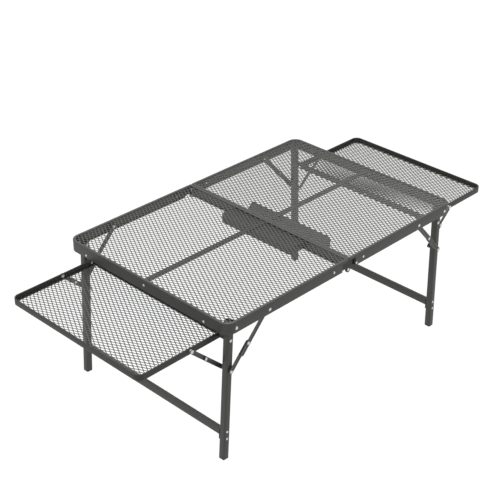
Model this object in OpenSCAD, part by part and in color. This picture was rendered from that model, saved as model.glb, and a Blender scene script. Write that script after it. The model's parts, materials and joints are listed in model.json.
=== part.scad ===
// Folding grill table: a net top in two hinged halves, four folding legs with knee braces,
// and a net shelf on each leg pair. Millimetres, +Z up, origin on the floor under the middle.
// Left is -X and right is +X, near is -Y and far is +Y. Each piece is written once, for the
// right-hand near corner, and mirrored to where it repeats.

/* [Table top] */
// Length over both halves
top_length = 900; // [890:5:1100]
// Width across the long rails
top_width = 600; // [500:5:720]
// Height of the top face above the floor
top_height = 425; // [385:1:427]
// Outer radius of the corners at the ends of the table
corner_r = 28; // [22:1:36]
// Outer radius of the corners beside the seam
seam_corner_r = 5; // [3:0.5:12]
// Gap between the two halves at the seam
seam_gap = 0.6; // [0.4:0.1:1.5]

/* [Rails] */
// Height of the rail round each half
rail_h = 33; // [29:1:40]
// Thickness of the rail's sheet
rail_t = 1.5; // [1:0.1:2]
// Width of the flange along the rail's bottom
flange_w = 6; // [4:0.5:8]
// Height of the rolled bead along the rail's top
bead_h = 6; // [5:0.5:7]
// Width of the bead, which covers the net's edge
lip_w = 8; // [7:0.5:12]
// Wall left outside the net's groove
groove_wall = 2.5; // [1.5:0.1:4]

/* [Net] */
// Thickness of the expanded net
net_t = 2; // [1:0.1:2.3]
// Depth of the net's top face under the top of its rail
net_drop = 2; // [1:0.1:2.6]
// Width of a strand between two gaps
strand_w = 5; // [3:0.5:8]
// Gaps in one row along X, in each half
top_cells_x = 9; // [4:1:10]
// Gaps in one row along Y, in each half
top_cells_y = 7; // [4:1:8]
// Gaps in one row along X, in each shelf
shelf_cells_x = 6; // [3:1:7]
// Gaps in one row along Y, in each shelf
shelf_cells_y = 6; // [3:1:7]

/* [Centre bars] */
// Width of the bar under the middle of each net
bar_w = 17; // [8:1:24]
// Thickness of the bar
bar_t = 3.8; // [3:0.1:4.5]
// Length of the tab that turns down behind the end rail
bar_tab = 15; // [13:0.5:20]

/* [Seam plates] */
// Reach of each plate from the seam
plate_reach = 60; // [40:1:70]
// Distance of the left plate's near end from the middle
left_plate_near = 148; // [120:1:200]
// Distance of the left plate's far end from the middle
left_plate_far = 122; // [110:1:200]
// Distance of the right plate's near end from the middle
right_plate_near = 193; // [120:1:200]
// Distance of the right plate's far end from the middle, at its outer edge
right_plate_far = 112; // [100:1:200]
// Slant of the right plate's far end, back towards the seam
plate_slant = 34; // [0:1:60]
// Height of the plate's rim
plate_h = 21; // [12:0.5:22]
// Thickness of the plate's sheet
plate_t = 1.5; // [1:0.1:2]
// Chamfer on the left plate's far corner and on the right plate's near corner
plate_chamfer = 13; // [5:1:30]
// Chamfer on the other two corners
plate_bevel = 4; // [2:0.5:20]

/* [Seam hinge] */
// Depth of the hinge axis under the rail's bottom
hinge_drop = 1.5; // [1:0.1:3]
// Thickness of a hinge leaf
leaf_t = 2.3; // [1.8:0.1:2.5]
// Radius of the leaf's round ends
leaf_r = 8; // [7:0.5:9]
// Length of the notch in the long rail beside the seam
notch_w = 26; // [22:1:26]
// Height of the leaf's web over the hinge axis
web_rise = 6.5; // [5:0.5:8]
// Distance of the leaf's near rivet from the seam
near_run = 31; // [31:1:38]
// Height of the leaf's near rivet over the hinge axis
near_rise = 9; // [8:0.5:12]
// Distance of the leaf's far rivet from the seam
leaf_run = 59; // [52:1:90]
// Height of the leaf's far rivet over the hinge axis
leaf_rise = 16; // [12:0.5:18]

/* [Legs] */
// Outer width of the square leg tube
leg_size = 19; // [15:0.5:20]
// Wall of the leg tube
leg_wall = 1.2; // [0.8:0.1:2]
// Radius of the tube's corners
leg_corner_r = 3.5; // [2:0.1:4.5]
// Outward lean of the legs in degrees
leg_lean = 2.46; // [1.5:0.02:3.5]
// Distance of the leg pivot from the end of the table
pivot_inset = 32; // [29:0.5:33]
// Depth of the leg pivot under the top face
pivot_drop = 20; // [18:0.5:22]
// Length of tube above the leg pivot
leg_head = 10; // [8:0.5:11]
// Length of the foot cap's plug inside the tube
foot_plug = 12; // [8:0.5:25]
// Thickness of the foot cap's sole
sole_t = 3; // [2:0.1:5]

/* [Crossbars] */
// Height of the crossbar's middle above the floor
crossbar_z = 80; // [50:0.5:82]
// Height of the crossbar's tube
crossbar_h = 24.5; // [16:0.5:26]
// Thickness of the crossbar's tube
crossbar_t = 10.5; // [9:0.5:14]
// Wall of the crossbar
crossbar_wall = 1.2; // [0.8:0.1:2]
// Height of the plate on each end of the crossbar
crossbar_plate_h = 33.5; // [29:0.5:35]
// Thickness of that plate
crossbar_plate_t = 1.5; // [1.2:0.1:4]
// Drop of the plate's middle under the crossbar's middle
crossbar_plate_drop = 4.5; // [0:0.5:6]
// Distance of each rivet from the plate's middle
crossbar_rivet = 11; // [10:0.5:12]

/* [Knee braces] */
// Distance of the brace bolt from the leg pivot, along the leg
bolt_on_leg = 133; // [125:1:145]
// Distance of the brace pivot from the leg pivot, along the rail
knee_on_rail = 117; // [112:1:120]
// Width of a knee link
knee_w = 14.5; // [12.5:0.5:16]
// Thickness of a knee link
knee_t = 2.2; // [1.6:0.1:3]
// Length of the upper link's tail past the mid rivet
knee_tail = 30; // [0:1:36]
// Gap between the rail's flange and the knee's mid rivet
flange_gap = 1; // [0.5:0.1:2]
// Length of the bush between the knee brace and the leg
knee_bush = 3.1; // [2:0.1:6]

/* [Shelves] */
// Distance from the shelf pivot to the shelf's outer edge
shelf_reach = 265; // [220:1:268]
// Distance from the shelf pivot to the shelf's inner edge
shelf_stub = 10.4; // [9:0.1:10.8]
// Distance of the shelf pivot from the leg pivot, along the leg
shelf_on_leg = 45; // [43:0.5:47]
// Height of the shelf pivot over the shelf's underside
shelf_pin_up = 8.5; // [8.2:0.1:11]
// Height of the shelf's rail
shelf_rail_h = 18; // [17:0.5:22]
// Thickness of the shelf's rail
shelf_rail_t = 1.2; // [0.8:0.1:1.8]
// Outer radius of the shelf's free corners
shelf_corner_r = 20; // [14:1:40]
// Outer radius of the shelf's corners under the top
shelf_stub_r = 8; // [7:0.5:9]
// Height of the shelf's bead
shelf_bead_h = 3.5; // [2.5:0.1:4]
// Width of the shelf's bead
shelf_lip_w = 3.5; // [2.5:0.1:5]
// Width of the flange along the bottom of the shelf's rail, which carries the net
shelf_flange_w = 6; // [4:0.5:8]
// Length of the spacer between the shelf and its brace
shelf_spacer = 3.4; // [3:0.2:12]
// Distance of each inner rail rivet from the middle
shelf_rivet_y = 20; // [12:1:100]

/* [Shelf braces] */
// Distance of the brace pivot from the shelf pivot, along the shelf
brace_on_shelf = 99; // [96:1:112]
// Width of a shelf brace link
brace_w = 12; // [11.5:0.5:16]
// Thickness of a shelf brace link
brace_t = 2; // [1.5:0.1:3]
// Length of the bush between the leg and the shelf brace
brace_bush = 9.1; // [2:0.1:10]

/* [Fasteners] */
// Radius of a pivot's shaft
pin_r = 3; // [2:0.1:3.4]
// Radius of a pivot's head
head_r = 4.5; // [4:0.1:5]
// Thickness of a head on an outside face
head_t = 1.4; // [1:0.1:1.8]
// Thickness of a low head between two links
low_head_t = 1.2; // [1:0.1:1.4]
// Radius of a bush or spacer
bush_r = 5.5; // [4.5:0.1:6]
// Radius of a plain rivet's shaft
rivet_r = 2; // [1.5:0.1:2.4]
// Radius of a plain rivet's head
rivet_head_r = 3.5; // [3:0.1:4]
// Distance of the end rail's near rivet from the middle
end_rivet_near = 217.5; // [100:0.5:235]
// Distance of the end rail's far rivet from the middle
end_rivet_far = 228; // [100:0.5:235]
// Depth of those rivets under the top face
end_rivet_drop = 25; // [20:0.5:26]
// Depth of the middle rivet under the top face
bar_rivet_drop = 17; // [16.5:0.1:18]
// Radial play of a shaft in its bore
play = 0.05; // [0.02:0.01:0.1]
// Side gap between two pieces that turn against each other
side_gap = 0.3; // [0.2:0.05:0.4]

/* [Hidden] */
$fn = 48;
eps = 1;
rest_gap = 0.1;

rail_z = top_height - rail_h;
half_x0 = seam_gap / 2;
half_x1 = top_length / 2;
side_y = top_width / 2;
pivot_x = half_x1 - pivot_inset;
pivot_z = top_height - pivot_drop;
hinge_z = rail_z - hinge_drop;

net_z = top_height - net_drop - net_t;
bar_z = net_z - 2 * rest_gap - bar_t;
strap_top = top_height - bead_h - rest_gap;

// Layers across the near side, as distances from the middle plane, from the rail inwards
leaf_y = side_y - rail_t;
leaf2_y = leaf_y - leaf_t - side_gap;
leaf_in_y = leaf2_y - leaf_t;
knee_head_y = side_y - flange_w - flange_gap;
knee_up_y = knee_head_y - head_t;
bolt_head_y = knee_up_y - knee_t - side_gap;
knee_low_y = bolt_head_y - low_head_t - side_gap;
knee_in_y = knee_low_y - knee_t;
leg_out_y = knee_in_y - side_gap - knee_bush;
leg_y = leg_out_y - leg_size / 2;
leg_in_y = leg_out_y - leg_size;
brace_low_y = leg_in_y - brace_bush - side_gap;
bolt_end_y = brace_low_y - brace_t - side_gap;
brace_up_y = bolt_end_y - low_head_t - side_gap;
brace_in_y = brace_up_y - brace_t;
shelf_y = brace_in_y - side_gap - shelf_spacer;

// Points in the XZ plane: on the leg's line at a distance s from its pivot
function on_leg(s) = [pivot_x + s * sin(leg_lean), pivot_z - s * cos(leg_lean)];
function between(p, q, s) = p + (q - p) * s / norm(q - p);

leg_pin = [pivot_x, pivot_z];
rail_pin = [pivot_x - knee_on_rail, pivot_z];
bolt_pin = on_leg(bolt_on_leg);
shelf_pin = on_leg(shelf_on_leg);
arm_pin = shelf_pin + [brace_on_shelf, 0];
hinge_pin = [0, hinge_z];
leaf_far = [leaf_run, hinge_z + leaf_rise];

// The wall of the long rail is cut away as far as notch_x for the leaves. The leaf of the right
// half lies further in as far as step_x, behind the eye of the other leaf
notch_x = half_x0 + notch_w;
notch_top = strap_top - eps;
step_w = 2.5;
step_x = notch_x - step_w - 2 * eps;
leaf_near = [near_run, hinge_z + near_rise];
web_z = hinge_z + web_rise;

// Each brace is straight when open, and its two links lie on one line when folded
knee_span = norm(bolt_pin - rail_pin);
knee_upper = (knee_span + bolt_on_leg - knee_on_rail) / 2;
knee_pin = between(rail_pin, bolt_pin, knee_upper);
brace_span = norm(arm_pin - bolt_pin);
brace_lower = (brace_span + shelf_on_leg + brace_on_shelf - bolt_on_leg) / 2;
brace_pin = between(bolt_pin, arm_pin, brace_lower);

shelf_z = shelf_pin[1] - shelf_pin_up;
shelf_net_z = shelf_z + shelf_rail_t + rest_gap;
shelf_x0 = shelf_pin[0] - shelf_stub;
shelf_x1 = shelf_pin[0] + shelf_reach;

leg_length = pivot_z / cos(leg_lean);
tube_end = leg_length - sole_t - leg_size / 2 * tan(leg_lean);
plug_gap = leg_wall + rest_gap;
crossbar_s = (pivot_z - crossbar_z) / cos(leg_lean);

// Place along Y, depth and grip of each rivet on the end rail. The middle one holds the bar
end_rivets = [
    [-end_rivet_near, end_rivet_drop, rail_t],
    [0, bar_rivet_drop, 2 * rail_t],
    [end_rivet_far, end_rivet_drop, rail_t]
];

paint = [0.20, 0.20, 0.19];
shelf_paint = [0.15, 0.15, 0.15];
net_paint = [0.24, 0.24, 0.23];
link_paint = [0.27, 0.27, 0.26];
steel = [0.78, 0.78, 0.78];
plastic = [0.10, 0.10, 0.10];

// Placing

module left() mirror([1, 0, 0]) children();

module far() mirror([0, 1, 0]) children();

module near_and_far() {
    children();
    far() children();
}

// The leg's own frame: its pivot at the origin, the leg along -Z
module leg_frame() translate([pivot_x, 0, pivot_z]) rotate([0, -leg_lean, 0]) children();

// Shapes that repeat

// A round bar along Y on the near side, from y_out to y_in, through the point p of the XZ plane
module rod(p, y_out, y_in, r) {
    translate([p[0], -y_out, p[1]]) rotate([-90, 0, 0]) cylinder(h = y_out - y_in, r = r);
}

// The face of a bar with round ends, from the origin along X
module bar_face(run, r) {
    translate([0, -r]) square([run, 2 * r]);
    circle(r = r);
    translate([run, 0]) circle(r = r);
}

// A flat link from p to q, with round ends, a bore at each end and a tail past q
module link(p, q, y_out, t, r, bore_r, tail = 0) {
    run = norm(q - p);
    turn = -atan2(q[1] - p[1], q[0] - p[0]);
    translate([p[0], -y_out, p[1]]) rotate([0, turn, 0]) rotate([-90, 0, 0])
        linear_extrude(t) difference() {
            bar_face(run + tail, r);
            circle(r = bore_r);
            translate([run, 0]) circle(r = bore_r);
        }
}

// A bush round a shaft
module bush(p, y_out, y_in) {
    difference() {
        rod(p, y_out, y_in, bush_r);
        rod(p, y_out + eps, y_in - eps, pin_r + play);
    }
}

// A rectangle with its four corners rounded by r
module round_rectangle(w, h, r) {
    square([w - 2 * r, h], center = true);
    square([w, h - 2 * r], center = true);
    for (x = [-1, 1], y = [-1, 1])
        translate([x * (w / 2 - r), y * (h / 2 - r)]) circle(r = r);
}

module round_square(size, r) round_rectangle(size, size, r);

// A plate from x0 to x1 and across 2 * y, with corner radii r0 at x0 and r1 at x1,
// drawn in by inset all round
module tray(x0, x1, y, r0, r1, inset) {
    a0 = max(r0 - inset, 0.5);
    a1 = max(r1 - inset, 0.5);
    xa = x0 + inset;
    xb = x1 - inset;
    ya = y - inset;
    translate([xa + a0, -ya]) square([xb - xa - a0 - a1, 2 * ya]);
    translate([xa, -ya + a0]) square([a0, 2 * (ya - a0)]);
    translate([xb - a1, -ya + a1]) square([a1, 2 * (ya - a1)]);
    for (s = [-1, 1]) {
        translate([xa + a0, s * (ya - a0)]) circle(r = a0);
        translate([xb - a1, s * (ya - a1)]) circle(r = a1);
    }
}

// A rail bent round a tray's outline: wall, bottom flange and a bead along the top
module rail_ring(x0, x1, y, r0, r1, z, h, t, flange, bead, lip) {
    difference() {
        translate([0, 0, z]) linear_extrude(h) tray(x0, x1, y, r0, r1, 0);
        translate([0, 0, z - eps]) linear_extrude(h + 2 * eps)
            tray(x0, x1, y, r0, r1, max(flange, lip));
        translate([0, 0, z + t]) linear_extrude(h - bead - t) tray(x0, x1, y, r0, r1, t);
        translate([0, 0, z - eps]) linear_extrude(t + 2 * eps) tray(x0, x1, y, r0, r1, flange);
        translate([0, 0, z + h - bead - eps]) linear_extrude(bead + 2 * eps)
            tray(x0, x1, y, r0, r1, lip);
    }
}

// The corners of a diamond gap of half widths a and b that lie inside the net's field
function gap(cx, cy, a, b, x0, x1, y) = [
    for (p = [[a, 0], [0, b], [-a, 0], [0, -b]])
        let (q = [cx, cy] + p)
            if (q[0] > x0 - 0.01 && q[0] < x1 + 0.01 && abs(q[1]) < y + 0.01) q
];

// A flat net drawn in by inset from a tray's outline. Rows of diamond gaps fill the field
// inside the border, every other row shifted half a gap
module net(x0, x1, y, r0, r1, z, border, inset, nx, ny) {
    fx0 = x0 + border;
    fx1 = x1 - border;
    fy = y - border;
    dx = (fx1 - fx0) / nx / 2;
    dy = fy / ny;
    shrink = 1 - strand_w / 2 * norm([dx, dy]) / (dx * dy);
    translate([0, 0, z]) linear_extrude(net_t) difference() {
        tray(x0, x1, y, r0, r1, inset);
        for (i = [0 : 2 * nx], j = [0 : 2 * ny])
            if ((i + j) % 2 == 1) {
                points = gap(fx0 + i * dx, j * dy - fy, dx * shrink, dy * shrink, fx0, fx1, fy);
                if (len(points) > 2) polygon(points);
            }
    }
}

// Table top

// The wall is cut away beside the seam, and only the right half has a near rivet for its leaf
module top_frame(near_rivet) {
    notch_y = side_y - leaf_in_y + head_t + side_gap + 2 * eps;
    color(paint) difference() {
        rail_ring(half_x0, half_x1, side_y, seam_corner_r, corner_r, rail_z, rail_h, rail_t,
            flange_w, bead_h, lip_w);
        translate([0, 0, net_z - rest_gap]) linear_extrude(net_t + 2 * rest_gap)
            tray(half_x0, half_x1, side_y, seam_corner_r, corner_r, groove_wall);
        near_and_far() {
            translate([-eps, -side_y - eps, rail_z - eps])
                cube([notch_x + eps, notch_y, notch_top - rail_z + eps]);
            rod(leg_pin, side_y + eps, leaf_y - eps, pin_r + play);
            rod(rail_pin, side_y + eps, leaf_y - eps, pin_r + play);
            if (near_rivet) rod(leaf_near, side_y + eps, leaf_y - eps, rivet_r + play);
            rod(leaf_far, side_y + eps, leaf_y - eps, rivet_r + play);
        }
        for (p = end_rivets)
            end_rod(p[0], p[1], half_x1 - rail_t - eps, half_x1 + eps, rivet_r + play);
    }
}

// A round bar along X on the end rail, from x0 to x1
module end_rod(y, drop, x0, x1, r) {
    translate([x0, y, top_height - drop]) rotate([0, 90, 0]) cylinder(h = x1 - x0, r = r);
}

module top_net() {
    color(net_paint) net(half_x0, half_x1, side_y, seam_corner_r, corner_r, net_z, lip_w,
        groove_wall + rest_gap, top_cells_x, top_cells_y);
}

// The bar under the net, thinned at both ends to pass under the bead, with a tab turned down
module centre_bar() {
    x0 = half_x0 + rail_t;
    x1 = half_x1 - rail_t;
    strap_t = strap_top - bar_z;
    color(paint) difference() {
        union() {
            translate([half_x0 + lip_w + eps, -bar_w / 2, bar_z])
                cube([x1 - x0 - 2 * (lip_w - rail_t + eps), bar_w, bar_t]);
            translate([x0, -bar_w / 2, bar_z]) cube([x1 - x0, bar_w, strap_t]);
            translate([x1 - rail_t, -bar_w / 2, strap_top - bar_tab])
                cube([rail_t, bar_w, bar_tab]);
        }
        end_rod(0, bar_rivet_drop, x1 - rail_t - eps, x1 + eps, rivet_r + play);
    }
}

// The outline of a seam plate between two distances from the middle, drawn in by inset. Each
// end has a cut outer corner, and the far end slants back by slant from there to the seam
function plate_outline(near_end, far_end, near_cut, far_cut, slant, inset) =
    let (x0 = half_x0 + rail_t + inset, x1 = half_x0 + rail_t + plate_reach - inset,
        rise = slant / plate_reach, less = inset * (2 - sqrt(2)),
        ya = inset - near_end, yb = far_end - inset * (rise + norm([1, rise])),
        ca = near_cut - less, cb = far_cut - less)
    [[x0, ya], [x1 - ca, ya], [x1, ya + ca], [x1, yb - cb], [x1 - cb, yb - rise * cb],
        [x0, yb - rise * (x1 - x0)]];

module seam_plate(near_end, far_end, near_cut, far_cut, slant) {
    color(paint) difference() {
        translate([0, 0, bar_z - plate_h]) linear_extrude(plate_h)
            polygon(plate_outline(near_end, far_end, near_cut, far_cut, slant, 0));
        translate([0, 0, bar_z - plate_h - eps]) linear_extrude(plate_h - plate_t + eps)
            polygon(plate_outline(near_end, far_end, near_cut, far_cut, slant, plate_t));
    }
}

// Seam hinge

// The face of a leaf in the XZ plane: an eye round the hinge pin, a web that closes the notch
// in the rail, and an arm along the rail, over its flange
module leaf_face() {
    run = leaf_far - leaf_near;
    clear_z = rail_z + rail_t + rest_gap;
    difference() {
        union() {
            translate(hinge_pin) circle(r = leaf_r);
            translate([half_x0, hinge_z]) square([leaf_r - half_x0, web_rise + eps]);
            translate([half_x0, web_z]) square([notch_w + eps, notch_top - rest_gap - web_z]);
            translate(leaf_near) rotate(atan2(run[1], run[0])) bar_face(norm(run), leaf_r);
        }
        translate([notch_x - side_gap, clear_z - 2 * leaf_r])
            square([leaf_run + 2 * leaf_r, 2 * leaf_r]);
    }
}

// The leaf of the right half steps inwards beside the seam and has a near rivet
module hinge_leaves(stepped) {
    leaf_in = stepped ? leaf_in_y : leaf_y - leaf_t;
    tall = rail_h + 4 * leaf_r;
    color(link_paint) near_and_far() difference() {
        translate([0, -leaf_in, 0]) rotate([90, 0, 0]) linear_extrude(leaf_y - leaf_in)
            leaf_face();
        rod(hinge_pin, leaf_y + eps, leaf_in_y - eps, pin_r + play);
        rod(leaf_far, leaf_y + eps, leaf_in_y - eps, rivet_r + play);
        if (stepped) {
            rod(leaf_near, leaf_y + eps, leaf_in_y - eps, rivet_r + play);
            translate([-2 * leaf_r, -leaf_y - eps, hinge_z - 2 * leaf_r])
                cube([step_x + 2 * leaf_r, leaf_t + side_gap + eps, tall]);
            translate([step_x + step_w, -leaf_y + leaf_t, hinge_z - 2 * leaf_r])
                cube([leaf_run + 2 * leaf_r, leaf_y, tall]);
        }
    }
}

module hinge_pins() {
    color(steel) near_and_far() {
        rod(hinge_pin, leaf_y + head_t, leaf_y, head_r);
        rod(hinge_pin, leaf_y, leaf_in_y, pin_r);
        rod(hinge_pin, leaf_in_y - side_gap, leaf_in_y - side_gap - head_t, head_r);
        rod(hinge_pin, leaf_in_y, leaf_in_y - side_gap, pin_r);
    }
}

// Fasteners on the top

// A rivet along Y from y_out to y_in, with a head past each end
module rivet(p, y_out, y_in, r, head, t_out, t_in) {
    rod(p, y_out + t_out, y_out, head);
    rod(p, y_out, y_in, r);
    rod(p, y_in, y_in - t_in, head);
}

module end_rivet(y, drop, grip) {
    x1 = half_x1;
    end_rod(y, drop, x1 - grip, x1, rivet_r);
    end_rod(y, drop, x1, x1 + head_t, rivet_head_r);
    end_rod(y, drop, x1 - grip - head_t, x1 - grip, rivet_head_r);
}

module rail_rivets(near_rivet) {
    color(steel) {
        near_and_far() {
            if (near_rivet)
                rivet(leaf_near, side_y, leaf_y - leaf_t, rivet_r, rivet_head_r, head_t, head_t);
            rivet(leaf_far, side_y, leaf_y - leaf_t, rivet_r, rivet_head_r, head_t, head_t);
        }
        for (p = end_rivets) end_rivet(p[0], p[1], p[2]);
    }
}

module leg_pivots() {
    color(steel) near_and_far()
        rivet(leg_pin, side_y, leg_in_y - side_gap, pin_r, head_r, head_t, head_t);
}

module knee_pivots() {
    color(steel) near_and_far()
        rivet(rail_pin, side_y, bolt_head_y, pin_r, head_r, head_t, low_head_t - side_gap);
}

module rail_bushes() {
    color(plastic) near_and_far() {
        bush(leg_pin, leaf_y, leg_out_y + side_gap);
        bush(rail_pin, leaf_y, knee_up_y + side_gap);
    }
}

// Legs

module near_leg() {
    color(paint) difference() {
        leg_frame() translate([0, -leg_y, -tube_end]) linear_extrude(tube_end + leg_head)
            difference() {
                round_square(leg_size, leg_corner_r);
                round_square(leg_size - 2 * leg_wall, leg_corner_r - leg_wall);
            }
        for (p = [leg_pin, shelf_pin, bolt_pin])
            rod(p, leg_out_y + eps, leg_in_y - eps, pin_r + play);
        for (s = [-1, 1])
            rod(crossbar_point(s), leg_out_y + eps, leg_in_y - eps, rivet_r + play);
    }
}

// The upper (s = 1) or lower (s = -1) rivet of the crossbar's end plate
function crossbar_point(s) = on_leg(crossbar_s + crossbar_plate_drop - s * crossbar_rivet);

// A sole as wide as the tube, level with the floor, with a plug inside the tube
module foot_caps() {
    sole_h = leg_length - tube_end + eps;
    color(plastic) near_and_far() difference() {
        leg_frame() translate([0, -leg_y, -leg_length - eps]) {
            linear_extrude(sole_h - rest_gap) round_square(leg_size, leg_corner_r);
            linear_extrude(sole_h + foot_plug)
                round_square(leg_size - 2 * plug_gap, leg_corner_r - plug_gap);
        }
        translate([pivot_x, -side_y, -4 * eps]) cube([pivot_inset + leg_length, side_y, 4 * eps]);
    }
}

// A rectangular tube between two end plates, which are riveted to the insides of the legs
module crossbar() {
    plate_y = leg_in_y - crossbar_plate_t;
    plate_s = crossbar_s + crossbar_plate_drop + crossbar_plate_h / 2;
    color(paint) {
        leg_frame() translate([0, 0, -crossbar_s]) rotate([90, 0, 0])
            linear_extrude(2 * plate_y, center = true) difference() {
                round_rectangle(crossbar_t, crossbar_h, leg_corner_r);
                round_rectangle(crossbar_t - 2 * crossbar_wall, crossbar_h - 2 * crossbar_wall,
                    leg_corner_r - crossbar_wall);
            }
        near_and_far() difference() {
            leg_frame() translate([-leg_size / 2, -leg_in_y, -plate_s])
                cube([leg_size, crossbar_plate_t, crossbar_plate_h]);
            for (s = [-1, 1])
                rod(crossbar_point(s), leg_in_y + eps, plate_y - eps, rivet_r + play);
        }
    }
}

// Rivets that end flush with the inside of the end plate
module crossbar_rivets() {
    color(steel) near_and_far() for (s = [-1, 1]) {
        rod(crossbar_point(s), leg_out_y + head_t, leg_out_y, rivet_head_r);
        rod(crossbar_point(s), leg_out_y, leg_in_y - crossbar_plate_t, rivet_r);
    }
}

module brace_bolts() {
    color(steel) near_and_far() {
        rod(bolt_pin, bolt_head_y, bolt_head_y - low_head_t, head_r);
        rod(bolt_pin, bolt_head_y - low_head_t, bolt_end_y, pin_r);
        rod(bolt_pin, bolt_end_y, bolt_end_y - low_head_t, head_r);
    }
}

module leg_bushes() {
    color(plastic) near_and_far() {
        bush(bolt_pin, leg_out_y + knee_bush, leg_out_y);
        bush(bolt_pin, leg_in_y, leg_in_y - brace_bush);
        bush(shelf_pin, leg_in_y, shelf_y + side_gap);
    }
}

module shelf_pivots() {
    grip_in = shelf_y - shelf_rail_t - side_gap;
    color(steel) near_and_far()
        rivet(shelf_pin, leg_out_y, grip_in, pin_r, head_r, head_t, head_t);
}

// Knee braces, from the long rail to the leg

module knee_upper_links() {
    color(link_paint) near_and_far()
        link(rail_pin, knee_pin, knee_up_y, knee_t, knee_w / 2, pin_r + play, knee_tail);
}

module knee_lower_links() {
    color(link_paint) near_and_far()
        link(bolt_pin, knee_pin, knee_low_y, knee_t, knee_w / 2, pin_r + play);
}

module knee_rivets() {
    color(steel) near_and_far() {
        rod(knee_pin, knee_head_y, knee_up_y, head_r);
        rod(knee_pin, knee_up_y, knee_up_y - knee_t, pin_r);
    }
}

module knee_rivet_tails() {
    color(steel) near_and_far() {
        rod(knee_pin, knee_low_y, knee_in_y, pin_r);
        rod(knee_pin, knee_in_y, knee_in_y - low_head_t, head_r);
    }
}

// Shelves

module shelf_frame() {
    color(shelf_paint) difference() {
        rail_ring(shelf_x0, shelf_x1, shelf_y, shelf_stub_r, shelf_corner_r, shelf_z,
            shelf_rail_h, shelf_rail_t, shelf_flange_w, shelf_bead_h, shelf_lip_w);
        near_and_far() {
            for (p = [shelf_pin, arm_pin])
                rod(p, shelf_y + eps, shelf_y - shelf_rail_t - eps, pin_r + play);
            shelf_rod(shelf_x0 - eps, shelf_x0 + shelf_rail_t + eps, rivet_r + play);
        }
    }
}

// A round bar along X through the shelf's inner rail
module shelf_rod(x0, x1, r) {
    translate([x0, -shelf_rivet_y, shelf_pin[1]]) rotate([0, 90, 0])
        cylinder(h = x1 - x0, r = r);
}

// The net lies on the flange, inside the rail
module shelf_net() {
    color(net_paint) net(shelf_x0, shelf_x1, shelf_y, shelf_stub_r, shelf_corner_r, shelf_net_z,
        shelf_flange_w, shelf_rail_t + rest_gap, shelf_cells_x, shelf_cells_y);
}

module shelf_rivets() {
    x1 = shelf_x0 + shelf_rail_t;
    low_t = 1;
    color(steel) near_and_far() {
        shelf_rod(shelf_x0 - low_t, shelf_x0, rivet_head_r);
        shelf_rod(shelf_x0, x1, rivet_r);
        shelf_rod(x1, x1 + low_t, rivet_head_r);
    }
}

// The brace's pivot on the shelf, with a shoulder that spaces the brace from the rail
module brace_pivots() {
    shoulder = brace_in_y - side_gap;
    color(steel) near_and_far() {
        rod(arm_pin, brace_up_y + low_head_t, brace_up_y + side_gap, head_r);
        rod(arm_pin, brace_up_y + side_gap, shoulder, pin_r);
        rod(arm_pin, shoulder, shelf_y, bush_r);
        rod(arm_pin, shelf_y, shelf_y - shelf_rail_t, pin_r);
        rod(arm_pin, shelf_y - shelf_rail_t, shelf_y - shelf_rail_t - head_t, head_r);
    }
}

// Shelf braces, from the leg to the shelf

module brace_lower_links() {
    color(link_paint) near_and_far()
        link(bolt_pin, brace_pin, brace_low_y, brace_t, brace_w / 2, pin_r + play);
}

module brace_upper_links() {
    color(link_paint) near_and_far()
        link(arm_pin, brace_pin, brace_up_y, brace_t, brace_w / 2, pin_r + play);
}

module brace_rivets() {
    color(steel) near_and_far() {
        rod(brace_pin, brace_low_y + head_t, brace_low_y, head_r);
        rod(brace_pin, brace_low_y, brace_low_y - brace_t, pin_r);
    }
}

module brace_rivet_tails() {
    color(steel) near_and_far() {
        rod(brace_pin, brace_up_y, brace_in_y, pin_r);
        rod(brace_pin, brace_in_y, brace_in_y - low_head_t, head_r);
    }
}

left() top_frame(false);  // left_top_frame
top_frame(true);  // right_top_frame
left() top_net();  // left_top_net
top_net();  // right_top_net
left() centre_bar();  // left_centre_bar
centre_bar();  // right_centre_bar
left() seam_plate(left_plate_near, left_plate_far, plate_bevel, plate_chamfer, 0);  // left_seam_plate
seam_plate(right_plate_near, right_plate_far, plate_chamfer, plate_bevel, plate_slant);  // right_seam_plate
left() hinge_leaves(false);  // left_hinge_leaves
hinge_leaves(true);  // right_hinge_leaves
hinge_pins();
left() rail_rivets(false);  // left_rail_rivets
rail_rivets(true);  // right_rail_rivets
left() leg_pivots();  // left_leg_pivots
leg_pivots();  // right_leg_pivots
left() knee_pivots();  // left_knee_pivots
knee_pivots();  // right_knee_pivots
left() rail_bushes();  // left_rail_bushes
rail_bushes();  // right_rail_bushes
left() near_leg();  // left_near_leg
left() far() near_leg();  // left_far_leg
near_leg();  // right_near_leg
far() near_leg();  // right_far_leg
left() foot_caps();  // left_foot_caps
foot_caps();  // right_foot_caps
left() crossbar();  // left_crossbar
crossbar();  // right_crossbar
left() crossbar_rivets();  // left_crossbar_rivets
crossbar_rivets();  // right_crossbar_rivets
left() brace_bolts();  // left_brace_bolts
brace_bolts();  // right_brace_bolts
left() leg_bushes();  // left_leg_bushes
leg_bushes();  // right_leg_bushes
left() shelf_pivots();  // left_shelf_pivots
shelf_pivots();  // right_shelf_pivots
left() knee_upper_links();  // left_knee_upper_links
knee_upper_links();  // right_knee_upper_links
left() knee_lower_links();  // left_knee_lower_links
knee_lower_links();  // right_knee_lower_links
left() knee_rivets();  // left_knee_rivets
knee_rivets();  // right_knee_rivets
left() knee_rivet_tails();  // left_knee_rivet_tails
knee_rivet_tails();  // right_knee_rivet_tails
left() shelf_frame();  // left_shelf_frame
shelf_frame();  // right_shelf_frame
left() shelf_net();  // left_shelf_net
shelf_net();  // right_shelf_net
left() shelf_rivets();  // left_shelf_rivets
shelf_rivets();  // right_shelf_rivets
left() brace_pivots();  // left_brace_pivots
brace_pivots();  // right_brace_pivots
left() brace_lower_links();  // left_brace_lower_links
brace_lower_links();  // right_brace_lower_links
left() brace_upper_links();  // left_brace_upper_links
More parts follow.
